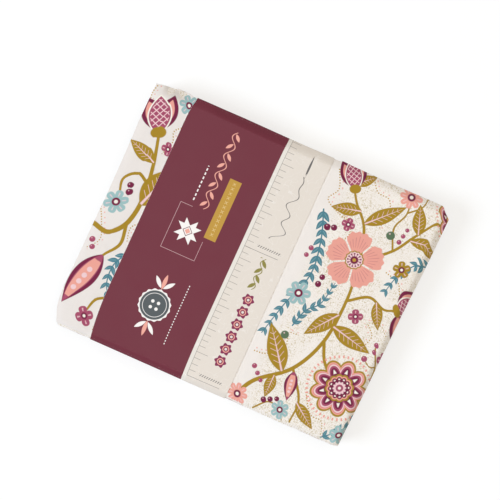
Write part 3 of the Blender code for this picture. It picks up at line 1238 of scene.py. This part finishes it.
def box(p, a, b, left, right, low, high, soft=0.12):
    return p.both(p.between(a, left, right, soft), p.between(b, low, high, soft))


def stitches(p, a, b, line, pitch, share, wide):
    across, low, high = layout[line]
    dash = p.below(p.fract(b * (1.0 / pitch)), share, 0.06)
    return p.both(dash, p.near(a, across, wide, 0.14), p.between(b, low, high, 0.1))


def sprig(p, a, b, line, swing, turnLength, leafLong, leafWide):
    # a wavy stem with a leaf on the outer side of each bend
    across, low, high = layout[line]
    along = b - low
    middle = p.wave(along * (2 * math.pi / turnLength)) * swing + across
    stem = p.both(p.near(a, middle, 0.38, 0.3), p.between(b, low, high, 0.2))
    step = turnLength / 2
    number = p.calc("FLOOR", along * (1.0 / step))
    side = 1.0 - p.calc("MODULO", number, 2.0) * 2.0
    y = along - (number + 0.5) * step
    x = (a - across) * side + swing * 0.6
    leafX, leafY = turned(p, x, y, 0.85)
    leaf = p.both(leafSpot(p, leafX, leafY, leafLong, leafWide), p.between(b, low, high, 0.2))
    return p.either(stem, leaf)


def ruleSpots():
    return [layout["rulerMark"] + step * layout["rulerPitch"] for step in layout["rules"]]


def printCreamSide(p, a, u, v):
    creamSide = p.flip(p.below(a, layout["creamFrom"], 0.15))
    p.lay("cream", creamSide)
    p.lay("paleEdge", p.between(a, layout["creamFrom"], layout["rulerLine"], 0.2), 0.8)
    curls = p.near(p.noise(p.join(u, v), 130.0, 1.0), 0.5, 0.006, 0.008)
    p.lay("white", curls, creamSide, 0.35)


def printRuler(p, a, b):
    fromLine = a - layout["rulerLine"]
    steps = (b - layout["rulerMark"]) * (1.0 / layout["rulerPitch"])
    nearest = p.calc("ROUND", steps)
    away = abs(steps - nearest) * layout["rulerPitch"]
    long = layout["tick"]
    for every, more in ((4, layout["fourthTick"]), (8, layout["eighthTick"])):
        share = abs(p.fract(nearest * (1.0 / every) + 0.5) - 0.5)
        long = long + p.below(share, 0.03) * more
    ticks = p.both(p.below(away, 0.20, 0.14), p.between(fromLine, 0.0, long, 0.2))
    ruler = p.either(ticks, p.near(fromLine, 0.0, 0.20, 0.14))
    p.lay("rule", ruler, p.flip(p.below(b, min(ruleSpots()) - 0.2, 0.1)), 0.9)


def printFrame(p, a, b):
    # thin, and open at one corner
    left, right, low, high = layout["frame"]
    line = layout["frameLine"]
    p.lay("frame", p.either(
        box(p, a, b, left, left + line, low, high), box(p, a, b, left, right, low, low + line),
        box(p, a, b, right - line, right, low, layout["frameRightTo"]),
        box(p, a, b, left, layout["frameTopTo"], high - line, high),
    ))


def printStar(p, a, b):
    # an eight-pointed patchwork star in the middle of the frame
    left, right, low, high = layout["frame"]
    patch = layout["starPatch"]
    x, y = abs(a - (left + right) / 2), abs(b - (low + high) / 2)
    further, nearer = p.calc("MAXIMUM", x, y), p.calc("MINIMUM", x, y)
    points = p.flip(p.below(nearer, further - patch, 0.12))
    p.lay("white", p.below(further, 2 * patch, 0.12), p.below(nearer, patch, 0.12), points)
    p.lay("wine", p.near(x + y, patch * 0.8, 0.35, 0.12))
    p.lay("pink", p.below(x + y, patch * 0.5, 0.12))


def printGoldBar(p, a, b):
    # with a row of cross stitches, 0.27 of them to a millimetre
    left, right, low, high = layout["goldBar"]
    p.lay("gold", box(p, a, b, left, right, low, high))
    y = abs((p.fract(b * 0.27) - 0.5) * (1 / 0.27))
    x = abs(a - (left + right) / 2)
    arms = p.below(abs(x - y), 0.25, 0.16)
    inBar = p.between(b, low + 2.0, high - 2.0, 0.1)
    p.lay("goldPale", arms, p.below(p.calc("MAXIMUM", x, y), 1.15, 0.1), inBar)


def printButton(p, a, b):
    # a scalloped sewing button between two leaf sprays
    middleA, middleB, radius = layout["button"]
    x, y = a - middleA, b - middleB
    r, angle = p.polar(x, y)
    scallop = p.petal(angle, 16) * 0.9
    p.lay("white", p.below(r, radius - scallop, 0.15))
    p.lay("slate", p.below(r, radius - 1.6, 0.15))
    p.lay("white", p.near(r, radius - 3.6, 0.2, 0.15))
    hole = p.reach(abs(x) - 2.3, abs(y) - 2.3)
    p.lay("white", p.below(hole, 1.25, 0.15))
    beyond = abs(y) - (radius + 6.0)
    for ink, up, lean, side, long in (
        ("pink", 0.0, 0.0, 0.0, 6.0), ("white", 1.4, 0.75, 4.2, 5.0), ("white", 1.4, -0.75, -4.2, 5.0),
    ):
        leafX, leafY = turned(p, beyond + up, x - side, lean)
        p.lay(ink, leafSpot(p, leafX, leafY, long, 1.5))


def printBorder(p, a, b):
    # a row of six folk flowers
    across, low, high = layout["border"]
    pitch = (high - low) / 6
    y = (p.fract((b - low) * (1 / pitch)) - 0.5) * pitch
    r, angle = p.polar(a - across, y)
    inBorder = p.between(b, low, high, 0.1)
    p.lay("plum", p.below(r, 4.9 - p.petal(angle, 6) * 1.5, 0.2), inBorder)
    p.lay("pink", p.near(r, 2.2, 0.35, 0.2), inBorder)
    p.lay("cream", p.below(r, 1.0, 0.2), inBorder)


def printNeedle(p, a, b):
    # a needle whose thread hangs in waves
    across, low, high = layout["threadLine"]
    fade = (high - b) * (4.0 / (high - low))
    swing = p.wave(b * (2 * math.pi / 14.0)) * fade
    middle = p.wave(b * (2 * math.pi / 29.0)) * 1.6 + across
    thread = p.both(p.near(a, middle + swing, 0.32, 0.3), p.between(b, low, high - 14.0, 0.2))
    beside = a - (across + 0.3)
    needle = leafSpot(p, b - (high - 6.0), beside, 9.5, 0.75)
    p.lay("thread", p.either(thread, needle))
    p.lay("cream", leafSpot(p, b - (high - 12.6), beside, 1.5, 0.3))


def printRules(p, a, b):
    # two thin rules, each with a row of slanted stitches over it
    left, right, over = layout["whipStitches"]
    for spot in ruleSpots():
        rule = box(p, a, b, layout["rulerLine"], layout["rulesTo"], spot - 0.17, spot + 0.17)
        above = b - (spot + over)
        slanted = p.below(p.fract((a - above * 0.5) * 0.55), 0.4, 0.08)
        row = p.both(slanted, p.below(abs(above), 0.9, 0.12), p.between(a, left, right, 0.2))
        p.lay("thread", p.either(rule, row), 0.85)


def paperFinish(p, u, v):
    # fibres, ink rubbed thin where the paper turns over the edges, and its white cut edges
    fibre = p.noise(p.join(u * 900.0, v * 240.0), 1.0, 3.0)
    mottle = p.noise(p.join(u, v), 55.0, 4.0)
    p.shade(1.0 + ((fibre - 0.5) * 0.035 + (mottle - 0.5) * 0.05))
    crease = p.near(abs(v), foldLine + 0.0002, 0.0005, 0.0006)
    speck = p.clamped((p.noise(p.join(u, v), 900.0, 2.0) - 0.56) * 9.0, 0.0)
    p.lay("white", crease, speck, 0.12)
    edge, soft = 0.00006, 0.00002
    width = band["right"] - band["left"]
    p.lay("white", p.either(p.below(u, edge, soft), p.flip(p.below(u, width - edge, soft))))
    roughness = 0.62 + (mottle - 0.5) * 0.15
    return p.finish(fibre * 0.6 + mottle, 0.00005, roughness)


def printedPaper():
    p = Painter("printed band paper", paperInks, "wine")
    u, v = p.flatPlace()
    a, b = u * 1000.0 - layout["starts"], v * 1000.0
    printCreamSide(p, a, u, v)
    printRuler(p, a, b)
    printFrame(p, a, b)
    printStar(p, a, b)
    p.lay("white", stitches(p, a, b, "smallStitches", 3.4, 0.58, 0.5))
    p.lay("pink", sprig(p, a, b, "sprig", 2.6, 15.5, 3.3, 1.2))
    printGoldBar(p, a, b)
    printButton(p, a, b)
    p.lay("white", stitches(p, a, b, "caption", 2.2, 0.5, 0.35))
    printBorder(p, a, b)
    p.lay("olive", sprig(p, a, b, "twig", 1.8, 12.0, 3.6, 1.35))
    printNeedle(p, a, b)
    printRules(p, a, b)
    return paperFinish(p, u, v)


makeBand()

# the photograph's view, from straight above
view = {
    "above": 1.30,
    "aim": (-0.0053, 0.0106),
    "turn": 23.4,  # the picture's right, in degrees from the bundle's
    "metresAcross": 0.2286 * 500 / 308.5,  # of the picture, at the top of the stack
}


def makeCamera():
    bpy.ops.object.camera_add(location=(*view["aim"], stackHeight + view["above"]))
    camera = bpy.context.object
    camera.name = "camera over the bundle"
    camera.rotation_euler = (0.0, 0.0, math.radians(view["turn"]))
    camera.data.sensor_width = 36.0
    camera.data.lens = camera.data.sensor_width * view["above"] / view["metresAcross"]
    camera.data.clip_end = 10.0
    bpy.context.scene.camera = camera


studio = {
    "floorGlow": 0.71,  # the white table lights itself, so that shadows stay pale
    "floorTone": (147, 147, 146),
    "room": 0.16,
    "roomTone": (1.10, 1.0, 0.86),
}
# each lamp stands to the picture's right and top, at its height, and faces the bundle
lamps = table(
    "name right top high size power tone",
    ("window light", -2.35, -0.29, 3.05, 1.75, 95.0, (0.88, 1.0, 1.18)),
    ("overhead light", 0.25, 0.15, 2.70, 2.2, 35.0, (1.09, 1.0, 0.84)),
)


def makeStudio():
    bpy.ops.mesh.primitive_plane_add(size=24.0, location=(0.0, 0.0, -0.0002))
    floor = bpy.context.object
    floor.name = "studio floor"
    surface = bpy.data.materials.new("pale floor")
    surface.use_nodes = True
    shader = surface.node_tree.nodes["Principled BSDF"]
    shader.inputs["Base Color"].default_value = srgb(*studio["floorTone"])
    shader.inputs["Roughness"].default_value = 1.0
    shader.inputs["Specular IOR Level"].default_value = 0.0
    shader.inputs["Emission Color"].default_value = (1.0, 1.0, 1.0, 1.0)
    shader.inputs["Emission Strength"].default_value = studio["floorGlow"]
    floor.data.materials.append(surface)
    world = bpy.data.worlds.new("soft white room")
    bpy.context.scene.world = world
    world.use_nodes = True
    air = world.node_tree.nodes["Background"]
    air.inputs["Color"].default_value = (*studio["roomTone"], 1.0)
    air.inputs["Strength"].default_value = studio["room"]
    turn = math.radians(view["turn"])
    for lamp in lamps:
        x = lamp["right"] * math.cos(turn) - lamp["top"] * math.sin(turn)
        y = lamp["right"] * math.sin(turn) + lamp["top"] * math.cos(turn)
        bpy.ops.object.light_add(type="AREA", location=(x, y, lamp["high"]))
        light = bpy.context.object
        light.name = lamp["name"]
        light.data.shape = "DISK"
        light.data.size = lamp["size"]
        light.data.energy = lamp["power"]
        light.data.color = lamp["tone"]
        light.rotation_euler = (-light.location).to_track_quat("-Z", "Y").to_euler()


makeCamera()
makeStudio()
bpy.context.scene.view_settings.view_transform = "Standard"
